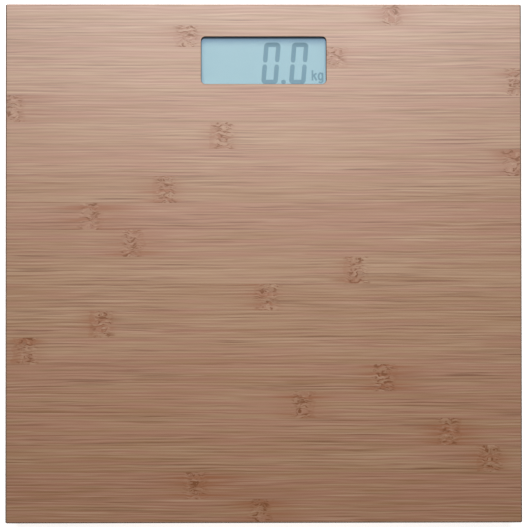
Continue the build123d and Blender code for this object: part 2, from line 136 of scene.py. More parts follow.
def inMillimetres(tree):
    coords = put(tree, "ShaderNodeTexCoord")
    return put(tree, "ShaderNodeVectorMath", {0: coords.outputs["Object"], "Scale": 1000.0},
               operation="SCALE").outputs[0]


def axes(tree, vector):
    return put(tree, "ShaderNodeSeparateXYZ", {0: vector}).outputs


def joinAxes(tree, x=0.0, y=0.0, z=0.0):
    return put(tree, "ShaderNodeCombineXYZ", {0: x, 1: y, 2: z}).outputs[0]


def stretch(tree, vector, factors, shift=None):
    scaled = put(tree, "ShaderNodeVectorMath", {0: vector, 1: factors}, operation="MULTIPLY").outputs[0]
    if shift is None:
        return scaled
    return put(tree, "ShaderNodeVectorMath", {0: scaled, 1: shift}, operation="ADD").outputs[0]


def bump(tree, height, depth, strength, normal=None):  # depth in metres
    node = put(tree, "ShaderNodeBump", {"Height": height, "Distance": depth, "Strength": strength})
    if normal is not None:
        tree.links.new(normal, node.inputs["Normal"])
    return node.outputs[0]


def newGroup(name, inputs, outputs):
    tree = bpy.data.node_groups.new(name, "ShaderNodeTree")
    for label, (kind, value) in inputs.items():
        socket = tree.interface.new_socket(label, in_out="INPUT", socket_type="NodeSocket" + kind)
        if value is not None:
            socket.default_value = value
    for label, kind in outputs.items():
        tree.interface.new_socket(label, in_out="OUTPUT", socket_type="NodeSocket" + kind)
    return tree, put(tree, "NodeGroupInput").outputs, put(tree, "NodeGroupOutput").inputs


def useGroup(tree, group, **inputs):
    return put(tree, "ShaderNodeGroup", inputs, node_tree=group).outputs


def newMaterial(name, colour, rough=0.5, metal=0.0, **sockets):
    material = bpy.data.materials.new(name)
    material.use_nodes = True
    tree = material.node_tree
    shader = tree.nodes["Principled BSDF"]
    shader.inputs["Base Color"].default_value = (*colour, 1.0)
    shader.inputs["Roughness"].default_value = rough
    shader.inputs["Metallic"].default_value = metal
    for key, value in sockets.items():
        shader.inputs[key.replace("_", " ")].default_value = value
    material.diffuse_color = (*colour, 1.0)
    return material, tree, shader


def feed(tree, shader, **sockets):
    for key, value in sockets.items():
        tree.links.new(value, shader.inputs[key.replace("_", " ")])


def letThrough(tree, shader, amount):  # clear where amount is 1
    clear = put(tree, "ShaderNodeBsdfTransparent")
    pane = put(tree, "ShaderNodeMixShader", {0: amount, 1: shader.outputs[0], 2: clear.outputs[0]})
    tree.links.new(pane.outputs[0], tree.nodes["Material Output"].inputs["Surface"])


def dress(material, *names):
    for name in names:
        mesh = nodes[name].data
        mesh.materials.clear()
        mesh.materials.append(material)


# shared effects: a scale is how often it changes in a millimetre, a pair is where a fade begins and ends
effects = {
    "rim": (0.995, 0.9), "rimSamples": 6, "wornPatches": (0.35, 0.65),
    "cloudScale": 0.045, "clouds": (0.4, 0.75), "cloudShare": 0.45,
    "speckScale": 1.7, "specks": (0.66, 0.74), "pitShare": 0.6, "shadeScale": 0.06,
    "stainScale": 0.15, "stains": (0.45, 0.8),
}


def makeEdgeWear():
    inputs = {"Vector": ("Vector", None), "Radius": ("Float", 0.0004), "Scale": ("Float", 0.5)}
    tree, given, out = newGroup("edgeWear", inputs, {"Mask": "Float", "Normal": "Vector"})
    soft = put(tree, "ShaderNodeBevel", {"Radius": given["Radius"]},
               samples=effects["rimSamples"]).outputs[0]
    face = put(tree, "ShaderNodeNewGeometry").outputs["Normal"]
    facing = put(tree, "ShaderNodeVectorMath", {0: soft, 1: face}, operation="DOT_PRODUCT").outputs["Value"]
    rim = fade(tree, facing, *effects["rim"])
    cloud = noise(tree, given["Vector"], given["Scale"], detail=4.0, rough=0.6)
    patches = fade(tree, cloud, *effects["wornPatches"])
    tree.links.new(times(tree, rim, patches), out["Mask"])
    tree.links.new(soft, out["Normal"])
    return tree


def makeDust():
    inputs = {"Vector": ("Vector", None), "Amount": ("Float", 0.3)}
    tree, given, out = newGroup("settledDust", inputs, {"Mask": "Float"})
    clouds = noise(tree, given["Vector"], effects["cloudScale"], detail=3.0, rough=0.6)
    clouds = times(tree, fade(tree, clouds, *effects["clouds"]), effects["cloudShare"])
    specks = noise(tree, given["Vector"], effects["speckScale"], detail=1.0)
    both = larger(tree, clouds, fade(tree, specks, *effects["specks"]))
    tree.links.new(times(tree, both, given["Amount"]), out["Mask"])
    return tree


def makeMouldGrain():
    inputs = {"Vector": ("Vector", None), "Scale": ("Float", 2.6)}
    tree, given, out = newGroup("mouldGrain", inputs, {"Height": "Float", "Shade": "Float"})
    pits = cells(tree, given["Vector"], given["Scale"], feature="SMOOTH_F1")
    sand = noise(tree, given["Vector"], given["Scale"], detail=3.0, rough=0.7)
    shade = noise(tree, given["Vector"], effects["shadeScale"], detail=4.0, rough=0.6)
    tree.links.new(plus(tree, times(tree, pits, effects["pitShare"]), sand), out["Height"])
    tree.links.new(shade, out["Shade"])
    return tree


def makeBrushed():
    inputs = {"Vector": ("Vector", None), "Along": ("Vector", (0.08, 6.0, 6.0))}
    tree, given, out = newGroup("brushedLines", inputs, {"Lines": "Float", "Stain": "Float"})
    lines = noise(tree, stretch(tree, given["Vector"], given["Along"]), detail=3.0, rough=0.65)
    stain = noise(tree, given["Vector"], effects["stainScale"], detail=4.0, rough=0.6)
    tree.links.new(lines, out["Lines"])
    tree.links.new(fade(tree, stain, *effects["stains"]), out["Stain"])
    return tree


edgeWear = makeEdgeWear()
settledDust = makeDust()
mouldGrain = makeMouldGrain()
brushedLines = makeBrushed()
print("shared effects ready")

# bamboo board: strips glued side by side in two plies, each strip crossed by one knuckle (mm)
board = {
    "half": (150.0, 150.75), "plyLevel": 17.0,
    "window": {"halfWide": 36.35, "halfDeep": 13.75, "middle": 118.0, "corner": 2.5},
    "stripWidth": 15.63, "narrowWidth": 12.55, "narrowFrom": 113.2, "narrowCount": 3.0,
    "knuckles": [74, -44, 41, 147, -146, -24, 145, -57, -101, -77,  # along X, one for each strip,
                 54, 2, -94, -138, 69, 22, 107, 131, -40, -2],      # from the rear strip to the front one
    "seed": 11, "stripLift": 7.31, "plyLift": 50.0,  # the lifts draw other fibres on each strip and ply
    "waveHeight": 3.0, "swerveHeight": 9.0, "raggedness": 8.0,
    "vesselRate": 3.3, "vesselDrift": 9.0,  # radians in a mm, and radians
    "grainDepth": 0.00003, "grainStrength": 0.35,  # metres, and a share
    "straw": (0.413, 0.244, 0.141, 1.0), "tan": (0.306, 0.147, 0.063, 1.0),
    "rose": (0.384, 0.178, 0.114, 1.0), "rust": (0.300, 0.108, 0.040, 1.0),
    "umber": (0.155, 0.053, 0.014, 1.0), "cream": (0.50, 0.324, 0.210, 1.0),
    # the next line's last colour is painted shade for the front and side edges
    "curl": (0.192, 0.063, 0.015, 1.0), "wearAndShade": (0.112, 0.078, 0.058, 1.0),
    "wallDark": (0.030, 0.024, 0.020, 1.0),
    # how often a pattern changes in a millimetre, along and across the fibres
    "grain": {"wave": (0.007, 0.05), "swerve": (0.11, 0.24), "broad": (0.007, 0.15),
              "fibre": (0.012, 0.66), "hair": (0.018, 1.20), "light": (0.019, 1.25),
              "vessel": (0.024, 0.30), "patch": (0.016, 0.14), "blush": (0.014, 0.26),
              "streak": (0.010, 0.48), "curl": (0.25, 0.95), "pores": (0.05, 1.25)},
    "amount": {"fibre": 1.25, "broad": 0.85, "tone": 0.26, "hue": 0.16, "pink": 0.72, "light": 0.50,
               "vessel": 0.22, "between": 0.20, "streak": 0.80, "tail": 0.22, "pits": 0.95, "flecks": 0.40,
               "glue": 0.20, "ply": 0.45, "pores": 0.62, "frontSideShade": 0.90, "bare": 0.9, "bareRough": 0.85,
               "coreRough": 0.06, "hairHeight": 0.5, "curlHeight": 0.15, "glueDepth": 2.0},
    # where each begins to show and where it is whole
    "shown": {"bend": (7.5, 1.0), "level": (0.81, 1.59), "pink": (0.46, 0.72), "hair": (0.54, 0.68),
              "patch": (0.35, 0.65), "light": (0.55, 0.68), "streak": (0.46, 0.66), "farSide": (-1.0, 1.0),
              "tail": (1.0, 0.0), "bandNear": (-1.0, 3.0), "bandFar": (8.5, 7.0), "core": (8.2, 2.2),
              "pits": (0.49, 0.38), "flecks": (0.56, 0.68), "glue": (0.016, 0.004), "ply": (0.16, 0.05),
              "ends": (0.55, 0.8), "pores": (0.42, 0.2), "frontSideShade": (-1.15, -0.45), "brim": (20.8, 21.3),
              "wall": (0.24, 0.10)},
    # least and most
    "range": {"hair": (0.18, 0.66), "vessel": (0.65, 1.35), "reach": (17.0, 31.0), "uneven": (-14.0, 14.0),
              "band": (0.40, 0.85), "rough": (0.31, 0.41)},
}


def stripValues(tree, number):  # where the strip's knuckle is, its tone and its hue
    half = board["half"][0]
    dice = random.Random(board["seed"])
    steps = [((spot + half) / (2 * half), dice.random(), dice.random(), 1.0) for spot in board["knuckles"]]
    table = steppedRamp(tree, over(tree, plus(tree, number, 0.5), float(len(steps))), steps)
    share, tone, hue = put(tree, "ShaderNodeSeparateColor", {0: table}).outputs
    return minus(tree, times(tree, share, 2 * half), half), tone, hue


def windowEdge(tree, x, y):  # distance from the window's rounded outline, below 0 inside it
    window = board["window"]
    corner = window["corner"]
    pastX = minus(tree, unsigned(tree, x), window["halfWide"] - corner)
    pastY = minus(tree, unsigned(tree, minus(tree, y, window["middle"])), window["halfDeep"] - corner)
    outX = larger(tree, pastX, 0.0)
    outY = larger(tree, pastY, 0.0)
    far = calc(tree, "SQRT", plus(tree, times(tree, outX, outX), times(tree, outY, outY)))
    within = smaller(tree, larger(tree, pastX, pastY), 0.0)
    return minus(tree, plus(tree, far, within), corner)


def makeBamboo():
    material, tree, shader = newMaterial("bambooLacquer", (0.33, 0.20, 0.13), 0.36, Coat_Weight=1.0,
                                         Coat_Roughness=0.38, Specular_IOR_Level=0.8)
    amount = board["amount"]
    x, y, z = axes(tree, inMillimetres(tree))
    side = signAbove(tree, z, board["plyLevel"])  # the lower ply lies the other way round
    px = times(tree, x, side)
    py = times(tree, y, side)
    down = minus(tree, board["narrowFrom"], py)
    wide = over(tree, larger(tree, down, 0.0), board["stripWidth"])
    narrow = over(tree, smaller(tree, down, 0.0), board["narrowWidth"])
    strip = plus(tree, wide, narrow, board["narrowCount"])
    number = calc(tree, "FLOOR", strip)
    across = calc(tree, "FRACT", strip)
    knuckleX, tone, hue = stripValues(tree, number)
    off = minus(tree, px, knuckleX)
    away = unsigned(tree, off)
    lift = plus(tree, times(tree, number, board["stripLift"]), times(tree, side, board["plyLift"]))
    shift = joinAxes(tree, lift, lift, lift)

    def drawn(name, place, **settings):
        length, width = board["grain"][name]
        return noise(tree, stretch(tree, place, (length, width, width), shift), **settings)

    def shown(name, value):
        return fade(tree, value, *board["shown"][name])

    def ranged(name, value):
        return spread(tree, value, *board["range"][name])

    # fibres run along X, wave a little and swerve at the knuckle
    flat = joinAxes(tree, px, py, z)
    wave = times(tree, minus(tree, drawn("wave", flat), 0.5), board["waveHeight"])
    swerve = minus(tree, drawn("swerve", flat), 0.5)
    bend = times(tree, swerve, board["swerveHeight"], shown("bend", away))
    bent = plus(tree, py, wave, bend)
    grain = joinAxes(tree, px, bent, z)
    fibre = drawn("fibre", grain, detail=3.0, rough=0.62)
    broad = drawn("broad", grain)
    level = plus(tree, times(tree, fibre, amount["fibre"]), times(tree, broad, amount["broad"]),
                 times(tree, tone, amount["tone"]))
    blush = plus(tree, drawn("blush", grain, scale=1.3, detail=3.0), times(tree, hue, amount["hue"]))
    pink = times(tree, shown("pink", blush), amount["pink"])
    hair = drawn("hair", grain, rough=0.6)
    patch = shown("patch", drawn("patch", grain, detail=1.0))
    dark = times(tree, shown("hair", hair), ranged("hair", patch))
    light = shown("light", drawn("light", grain, rough=0.6))
    drift = times(tree, drawn("vessel", grain), board["vesselDrift"])
    ridge = calc(tree, "SINE", plus(tree, times(tree, bent, board["vesselRate"]), drift))
    ridge = times(tree, ridge, ranged("vessel", patch))  # evenly spaced vessels
    wood = mixColour(tree, shown("level", level), board["straw"], board["tan"])
    wood = mixColour(tree, pink, wood, board["rose"])
    wood = mixColour(tree, dark, wood, board["umber"])
    wood = mixColour(tree, times(tree, light, amount["light"]), wood, board["cream"])
    wood = mixColour(tree, times(tree, larger(tree, ridge, 0.0), amount["vessel"]), wood, board["umber"])
    wood = mixColour(tree, times(tree, smaller(tree, ridge, 0.0), -amount["between"]), wood, board["cream"])

    # knuckle: rusty tails that taper off, a brown band on one side, then dark pits and pale flecks
    uneven = times(tree, shown("farSide", off), ranged("uneven", hue))
    reach = plus(tree, uneven, ranged("reach", tone))
    tail = shown("tail", over(tree, away, reach))
    streak = shown("streak", drawn("streak", grain))
    rust = plus(tree, times(tree, streak, amount["streak"]), amount["tail"])
    rusty = calc(tree, "MULTIPLY", tail, rust, clamp=True)
    ragged = times(tree, swerve, board["raggedness"])
    beside = plus(tree, times(tree, off, signAbove(tree, hue, 0.5)), ragged)
    band = times(tree, shown("bandNear", beside), shown("bandFar", beside), ranged("band", streak))
    wood = mixColour(tree, larger(tree, rusty, band), wood, board["rust"])
    core = shown("core", unsigned(tree, plus(tree, off, ragged)))
    curl = drawn("curl", joinAxes(tree, off, bent, z), rough=0.6, twist=0.5)
    pits = times(tree, core, shown("pits", curl))
    flecks = times(tree, core, shown("flecks", curl), amount["flecks"])
    wood = mixColour(tree, times(tree, pits, amount["pits"]), wood, board["curl"])
    wood = mixColour(tree, flecks, wood, board["cream"])

    # glue lines between strips and plies, dotted end grain
    edge = smaller(tree, across, minus(tree, 1.0, across))
    glue = times(tree, shown("glue", edge), amount["glue"])
    fromPly = unsigned(tree, minus(tree, z, board["plyLevel"]))
    ply = times(tree, shown("ply", fromPly), amount["ply"])
    wood = mixColour(tree, larger(tree, glue, ply), wood, board["umber"])
    normal = axes(tree, put(tree, "ShaderNodeTexCoord").outputs["Normal"])
    ends = shown("ends", unsigned(tree, normal[0]))
    poreLength, poreWidth = board["grain"]["pores"]
    pores = cells(tree, stretch(tree, flat, (poreLength, poreWidth, poreWidth)))
    dots = times(tree, shown("pores", pores), amount["pores"])
    wood = mixColour(tree, times(tree, ends, dots), wood, board["umber"])

    # painted shade along the front and side edges, near-black walls round the display
    pastSide = minus(tree, unsigned(tree, x), board["half"][0])
    pastFront = minus(tree, times(tree, y, -1.0), board["half"][1])
    frontSideShade = shown("frontSideShade", larger(tree, pastSide, pastFront))
    frontSideShade = times(tree, frontSideShade, shown("brim", z))
    wall = shown("wall", windowEdge(tree, x, y))
    wood = mixColour(tree, times(tree, frontSideShade, amount["frontSideShade"]), wood, board["wearAndShade"])
    wood = mixColour(tree, wall, wood, board["wallDark"])

    # the lacquer is thin on end grain, on the front and side edges that carry painted shade, and in the
    # pits of a knuckle
    bare = larger(tree, wall, ends, frontSideShade)
    rough = plus(tree, ranged("rough", fibre), times(tree, core, amount["coreRough"]))
    rough = larger(tree, rough, times(tree, bare, amount["bareRough"]))
    lacquer = minus(tree, 1.0, times(tree, larger(tree, bare, pits), amount["bare"]))
    height = plus(tree, fibre, times(tree, hair, amount["hairHeight"]),
                  times(tree, core, curl, amount["curlHeight"]))
    height = minus(tree, height, times(tree, glue, amount["glueDepth"]))
    feed(tree, shader, Base_Color=wood, Roughness=rough, Coat_Weight=lacquer,
         Normal=bump(tree, height, board["grainDepth"], board["grainStrength"]))
    return material


dress(makeBamboo(), "platform")
print("bamboo board done")

# display: pale blue glass, dark segments printed on it, a clear lens above (metres)
display = {
    "level": 0.01552, "thickness": 0.00008,
    "digit": {"Width": 0.00703, "Height": 0.02180, "Lean": 0.00178, "Stroke": 0.00264, "Corner": 0.0011,
              "CornerSteps": 6, "Gap": 0.0011, "Taper": 0.0011, "EndWidth": 0.55, "Step": 0.0003,
              "Count": 2, "Spacing": 0.01627},
    "digitSpot": (0.00432, 0.11709),
    "pointSpot": (0.01164, 0.1062), "pointRadius": 0.00137, "pointSides": 32,
    "sign": {"Stroke": 0.00104}, "signStep": 0.000006,
    "kLines": (((0.02860, 0.10701), (0.02860, 0.11312)), ((0.02860, 0.10943), (0.03091, 0.11130)),
               ((0.02944, 0.11000), (0.03103, 0.10709))),  # stem, arm, leg
    "gBowl": (0.03333, 0.10943, 0.00117, 0.00193), "bowlSteps": 28, "gStemTop": (0.0345, 0.11157),
    "gHook": (0.03340, 0.10700, 0.00110, 0.00115), "hookTurn": -150.0, "hookSteps": 10,
    "ink": ((0.143, 0.270, 0.341, 1), (0.150, 0.280, 0.352, 1)), "inkRough": (0.4, 0.55),
    "frontGlass": ((0.118, 0.199, 0.147, 1), (0.112, 0.191, 0.141, 1)), "glow": (0.202, 0.300, 0.431, 1),
    "rearGlass": ((0.36, 0.52, 0.58, 1), (0.32, 0.48, 0.55, 1)), "glassRough": (0.32, 0.48),
    "tiles": {"Scale": 2.4, "Mortar Size": 0.04, "Mortar": (0.95, 0.97, 0.98, 1),
              "Color1": (1, 1, 1, 1), "Color2": (0.985, 0.99, 1, 1)},
    "lens": ((0.985, 0.995, 1.0, 1), (0.955, 0.98, 0.985, 1)), "lensRough": (0.02, 0.075),
    "smearScale": (0.09, 0.2, 0.2), "smear": (0.5, 0.8),
    # a painted shadow on the glass along its rear edge, under the window's rear wall
    "rearShadowTone": (0.01, 0.012, 0.015, 1), "rearShadowAmount": 0.7, "rearShadowFrom": (131.1, 131.6),  # the last in mm
}
sharpAngle = math.radians(35)


def newTree(name, sizes):
    tree = bpy.data.node_groups.new(name, "GeometryNodeTree")
    tree.interface.new_socket("Geometry", in_out="INPUT", socket_type="NodeSocketGeometry")
    for label, value in sizes.items():
        kind = "NodeSocketInt" if isinstance(value, int) else "NodeSocketFloat"
        tree.interface.new_socket(label, in_out="INPUT", socket_type=kind).default_value = value
    tree.interface.new_socket("Material", in_out="INPUT", socket_type="NodeSocketMaterial")
    tree.interface.new_socket("Geometry", in_out="OUTPUT", socket_type="NodeSocketGeometry")
    return tree, put(tree, "NodeGroupInput").outputs, put(tree, "NodeGroupOutput").inputs


def shape(tree, kind, inputs=None, **settings):
    return put(tree, "GeometryNode" + kind, inputs, **settings).outputs[0]


def settle(tree, geometry, material, out):
    real = shape(tree, "RealizeInstances", {0: geometry})
    painted = shape(tree, "SetMaterial", {"Geometry": real, "Material": material})
    tree.links.new(painted, out[0])


# runs a tree over points or lines and keeps the plain mesh
def growMesh(name, points, tree, sizes, material, edges=()):
    startMesh = bpy.data.meshes.new(name)
    startMesh.from_pydata(points, edges, [])
    piece = bpy.data.objects.new(name, startMesh)
    bpy.context.scene.collection.objects.link(piece)
    maker = piece.modifiers.new("maker", "NODES")
    maker.node_group = tree
    values = {**sizes, "Material": material}
    for item in tree.interface.items_tree:
        if item.in_out == "INPUT" and item.name in values:
            maker[item.identifier] = values[item.name]
    made = bpy.data.meshes.new_from_object(piece.evaluated_get(bpy.context.evaluated_depsgraph_get()))
    piece.modifiers.remove(maker)
    piece.data = made
    made.name = name
    made.shade_smooth()
    made.set_sharp_from_angle(angle=sharpAngle)
    bpy.data.meshes.remove(startMesh)
    return piece


def keep(piece, body, slot, *stoodFor):
    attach(piece, body)
    if stoodFor:
        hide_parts(*stoodFor)


def flatSection(tree, given):  # runs along every stroke
    return shape(tree, "CurvePrimitiveQuadrilateral", {"Width": given["Stroke"], "Height": given["Depth"]})


def makeDigitTree(sizes):  # a leaning loop, open at the middle of each side
    tree, given, out = newTree("segmentDigits", sizes)
    loop = shape(tree, "CurvePrimitiveQuadrilateral", {"Width": given["Width"], "Height": given["Height"],
                                                       "Offset": given["Lean"]}, mode="PARALLELOGRAM")
    rounded = shape(tree, "FilletCurve", {"Curve": loop, "Count": given["CornerSteps"],
                                          "Radius": given["Corner"]}, mode="POLY")
    dense = shape(tree, "ResampleCurve", {"Curve": rounded, "Length": given["Step"]}, mode="LENGTH")
    wire = shape(tree, "CurveToMesh", {"Curve": dense})
    height = axes(tree, shape(tree, "InputPosition"))[1]
    nearMiddle = calc(tree, "LESS_THAN", unsigned(tree, height), times(tree, given["Gap"], 0.5))
    halves = shape(tree, "DeleteGeometry", {"Geometry": wire, "Selection": nearMiddle})
    strokes = shape(tree, "MeshToCurve", {0: halves})
    level = shape(tree, "SetCurveNormal", {"Curve": strokes}, mode="Z_UP")
    along = put(tree, "GeometryNodeSplineParameter").outputs["Length"]
    whole = put(tree, "GeometryNodeSplineLength").outputs["Length"]
    fromEnd = smaller(tree, along, minus(tree, whole, along))
    swell = calc(tree, "DIVIDE", fromEnd, given["Taper"], clamp=True)
    slim = plus(tree, times(tree, swell, minus(tree, 1.0, given["EndWidth"])), given["EndWidth"])
    section = flatSection(tree, given)
    solid = shape(tree, "CurveToMesh", {"Curve": level, "Profile Curve": section, "Fill Caps": True,
                                        "Scale": slim})
    row = shape(tree, "MeshLine", {"Count": given["Count"], "Offset": joinAxes(tree, x=given["Spacing"])})
    start = shape(tree, "InstanceOnPoints", {"Points": given["Geometry"], "Instance": row})
    spots = shape(tree, "RealizeInstances", {0: start})
    digits = shape(tree, "InstanceOnPoints", {"Points": spots, "Instance": solid})
    settle(tree, digits, given["Material"], out)
    return tree


def makeStrokeTree(sizes):  # a flat bar along every line
    tree, given, out = newTree("unitStrokes", sizes)
    lines = shape(tree, "MeshToCurve", {0: given["Geometry"]})
    level = shape(tree, "SetCurveNormal", {"Curve": lines}, mode="Z_UP")
    section = flatSection(tree, given)
    bars = shape(tree, "CurveToMesh", {"Curve": level, "Profile Curve": section, "Fill Caps": True})
    settle(tree, bars, given["Material"], out)
    return tree


def arc(oval, turn, steps):
    x, y, across, up = oval
    angles = [math.radians(turn * i / steps) for i in range(steps + 1)]
    return [(x + across * math.cos(a), y + up * math.sin(a)) for a in angles]


def unitLines(height):
    bowl = arc(display["gBowl"], 360.0, display["bowlSteps"])[:-1]
    tail = [display["gStemTop"]] + arc(display["gHook"], display["hookTurn"], display["hookSteps"])
    points, edges = [], []
    for step, run in enumerate([*display["kLines"], bowl, tail]):
        first = len(points)  # each run a hair higher than the last, so none lie in one plane
        points += [(x, y, height + step * display["signStep"]) for x, y in run]
        edges += [(i, i + 1) for i in range(first, len(points) - 1)]
        if run is bowl:  # it closes on itself
            edges.append((len(points) - 1, first))
    return points, edges


def makePoint(name, spot, radius, height):
    dot = bmesh.new()
    bmesh.ops.create_cone(dot, cap_ends=True, segments=display["pointSides"], radius1=radius,
                          radius2=radius, depth=display["thickness"])
    bmesh.ops.translate(dot, vec=(*spot, height), verts=dot.verts)
    mesh = bpy.data.meshes.new(name)
    dot.to_mesh(mesh)
    dot.free()
    piece = bpy.data.objects.new(name, mesh)
    bpy.context.scene.collection.objects.link(piece)
    return piece


def makeInk():
    material, tree, shader = newMaterial("segmentInk", (0.13, 0.25, 0.335), 0.45)
    place = inMillimetres(tree)
    cloud = fade(tree, noise(tree, place, 0.22, detail=3.0), 0.3, 0.7)
    feed(tree, shader, Base_Color=mixColour(tree, cloud, *display["ink"]),
         Roughness=spread(tree, noise(tree, place, 3.0), *display["inkRough"]))
    return material


def makeDisplayGlass(name, paints, glow=None):
    material, tree, shader = newMaterial(name, paints[0][:3], 0.4, Emission_Strength=1.0 if glow else 0.0)
    place = inMillimetres(tree)
    tiles = put(tree, "ShaderNodeTexBrick", {"Vector": place, **display["tiles"]}, offset=0.0).outputs[0]
    # painted shadow along the rear edge of the glass
    edge = times(tree, fade(tree, axes(tree, place)[1], *display["rearShadowFrom"]), display["rearShadowAmount"])

    def tiled(paint):  # pixels all over, a painted shadow along the rear edge under the window wall
        return mixColour(tree, edge, mixColour(tree, 1.0, paint, tiles, "MULTIPLY"), display["rearShadowTone"])

    cloud = fade(tree, noise(tree, place, 0.05), 0.25, 0.75)
    feed(tree, shader, Base_Color=tiled(mixColour(tree, cloud, *paints)),
         Roughness=spread(tree, noise(tree, place, 0.4, detail=3.0), *display["glassRough"]))
    if glow:
        feed(tree, shader, Emission_Color=tiled(glow))
    return material


def makeLens():
    material, tree, shader = newMaterial("clearLens", (0.97, 0.99, 1.0), 0.03, Transmission_Weight=1.0,
                                         IOR=1.46)
    place = inMillimetres(tree)
    wiped = noise(tree, stretch(tree, place, display["smearScale"]), detail=4.0, rough=0.65)
    smear = fade(tree, wiped, *display["smear"])
    feed(tree, shader, Roughness=spread(tree, smear, *display["lensRough"]),
         Base_Color=mixColour(tree, smear, *display["lens"]))
    path = put(tree, "ShaderNodeLightPath").outputs
    letThrough(tree, shader, larger(tree, path["Is Shadow Ray"], path["Is Diffuse Ray"]))  # lets light in
    return material


ink = makeInk()
inkHeight = display["level"] + display["thickness"] / 2
digitSizes = {**display["digit"], "Depth": display["thickness"]}
digitStart = [(*display["digitSpot"], inkHeight)]
digits = growMesh("display_digits", digitStart, makeDigitTree(digitSizes), digitSizes, ink)
signSizes = {**display["sign"], "Depth": display["thickness"]}
signPoints, signEdges = unitLines(inkHeight)
unit = growMesh("display_unit", signPoints, makeStrokeTree(signSizes), signSizes, ink, signEdges)
point = makePoint("display_point", display["pointSpot"], display["pointRadius"], inkHeight)
point.data.materials.append(ink)
for piece in (digits, unit, point):
    keep(piece, "scale", "lcd_glass")
dress(makeDisplayGlass("displayFrontGlass", display["frontGlass"], display["glow"]), "lcd_front_glass")
dress(makeDisplayGlass("displayRearGlass", display["rearGlass"]), "lcd_rear_glass")
dress(makeLens(), "display_lens")
print("display done:", len(digits.data.polygons), "digit faces")

# plastics, rubber, metals and the rest of what is under the board
plastics = {
    "housing": {"dark": (0.020, 0.020, 0.021, 1), "light": (0.030, 0.030, 0.032, 1), "rough": 0.52},
    "cup": {"dark": (0.016, 0.016, 0.017, 1), "light": (0.024, 0.024, 0.025, 1), "rough": 0.38,
            "grain": 3.4, "depth": 0.00001},
    "button": {"dark": (0.26, 0.265, 0.27, 1), "light": (0.32, 0.325, 0.33, 1), "rough": 0.42,
               "wear": (0.5, 0.5, 0.5, 1)},
    "moulding": {"dark": (0.74, 0.74, 0.71, 1), "light": (0.80, 0.80, 0.78, 1), "rough": 0.45,
                 "wear": (0.86, 0.86, 0.85, 1), "dust": 0.1},
    "roughSpan": 0.09, "edge": {"Radius": 0.00035, "Scale": 0.35}, "edgeShare": 0.5,
    "dustTone": (0.33, 0.31, 0.28, 1), "dustShare": 0.35, "dustRough": 0.2,
}
rubber = {"dark": (0.055, 0.055, 0.057, 1), "light": (0.095, 0.094, 0.093, 1), "rough": (0.72, 0.92),
          "grain": 1.6, "depth": 0.00004, "dust": 0.8, "dustTone": (0.26, 0.245, 0.22, 1)}
metals = {
    "cell": {"bright": (0.58, 0.58, 0.59, 1), "dull": (0.40, 0.39, 0.37, 1), "rough": 0.32,
             "along": (0.08, 6.0, 6.0)},
    "screw": {"bright": (0.66, 0.67, 0.69, 1), "dull": (0.42, 0.41, 0.39, 1), "rough": 0.30,
              "along": (2.0, 2.0, 6.0)},
    "coin": {"bright": (0.72, 0.71, 0.68, 1), "dull": (0.60, 0.58, 0.54, 1), "rough": 0.2,
             "along": (0.3, 4.0, 4.0)},
    "roughSpan": (-0.1, 0.14), "lineDepth": 0.000006, "stainShare": 0.6, "stainRough": 0.12,
    "edge": {"Radius": 0.0002, "Scale": 1.2}, "edgeShare": 0.5, "wornEdge": (0.86, 0.86, 0.87, 1),
}
softs = {
    "foam": {"dark": (0.018, 0.018, 0.019, 1), "light": (0.035, 0.035, 0.036, 1), "rough": 0.9,
             "scale": 3.0, "depth": 0.00008},
    "resin": {"dark": (0.012, 0.012, 0.013, 1), "light": (0.022, 0.022, 0.024, 1), "rough": 0.25,
              "scale": 0.6, "depth": 0.00005},
    "lightGuide": {"dark": (0.70, 0.82, 0.86, 1), "light": (0.78, 0.88, 0.91, 1), "rough": 0.3,
                   "scale": 1.2, "depth": 0.00003},
    "silicone": {"dark": (0.78, 0.78, 0.75, 1), "light": (0.84, 0.84, 0.82, 1), "rough": 0.42,
                 "scale": 0.8, "depth": 0.00006},
}
circuit = {"mask": ((0.018, 0.12, 0.05, 1), (0.035, 0.19, 0.085, 1)), "weave": 1.4,
           "trackTone": (0.07, 0.30, 0.14, 1), "trackShare": 0.6,
           "tracks": {"Scale": 0.32, "Mortar Size": 0.07, "Bias": 0.0, "Brick Width": 1.1,
                      "Row Height": 0.42},
           "padTone": (0.66, 0.63, 0.55, 1), "padScale": (0.25, 0.25, 0.0), "padScatter": 0.6,
           "pads": (0.16, 0.13)}
zebra = {"dark": (0.03, 0.03, 0.032, 1), "light": (0.55, 0.42, 0.40, 1), "scale": 3.2}


def makePlastic(name, dark, light, rough, wear=(0.16, 0.16, 0.165, 1), grain=2.6, depth=0.00002, dust=0.25):
    material, tree, shader = newMaterial(name, dark[:3], rough)
    place = inMillimetres(tree)
    skin = useGroup(tree, mouldGrain, Vector=place, Scale=grain)
    wearAndShade = useGroup(tree, edgeWear, Vector=place, **plastics["edge"])
    film = useGroup(tree, settledDust, Vector=place, Amount=dust)["Mask"]
    colour = mixColour(tree, fade(tree, skin["Shade"], 0.3, 0.7), dark, light)
    colour = mixColour(tree, times(tree, wearAndShade["Mask"], plastics["edgeShare"]), colour, wear)
    colour = mixColour(tree, times(tree, film, plastics["dustShare"]), colour, plastics["dustTone"])
    gloss = spread(tree, skin["Shade"], rough - plastics["roughSpan"], rough + plastics["roughSpan"])
    gloss = plus(tree, gloss, times(tree, film, plastics["dustRough"]))
    feed(tree, shader, Base_Color=colour, Roughness=gloss,
         Normal=bump(tree, skin["Height"], depth, 0.5, wearAndShade["Normal"]))
    return material


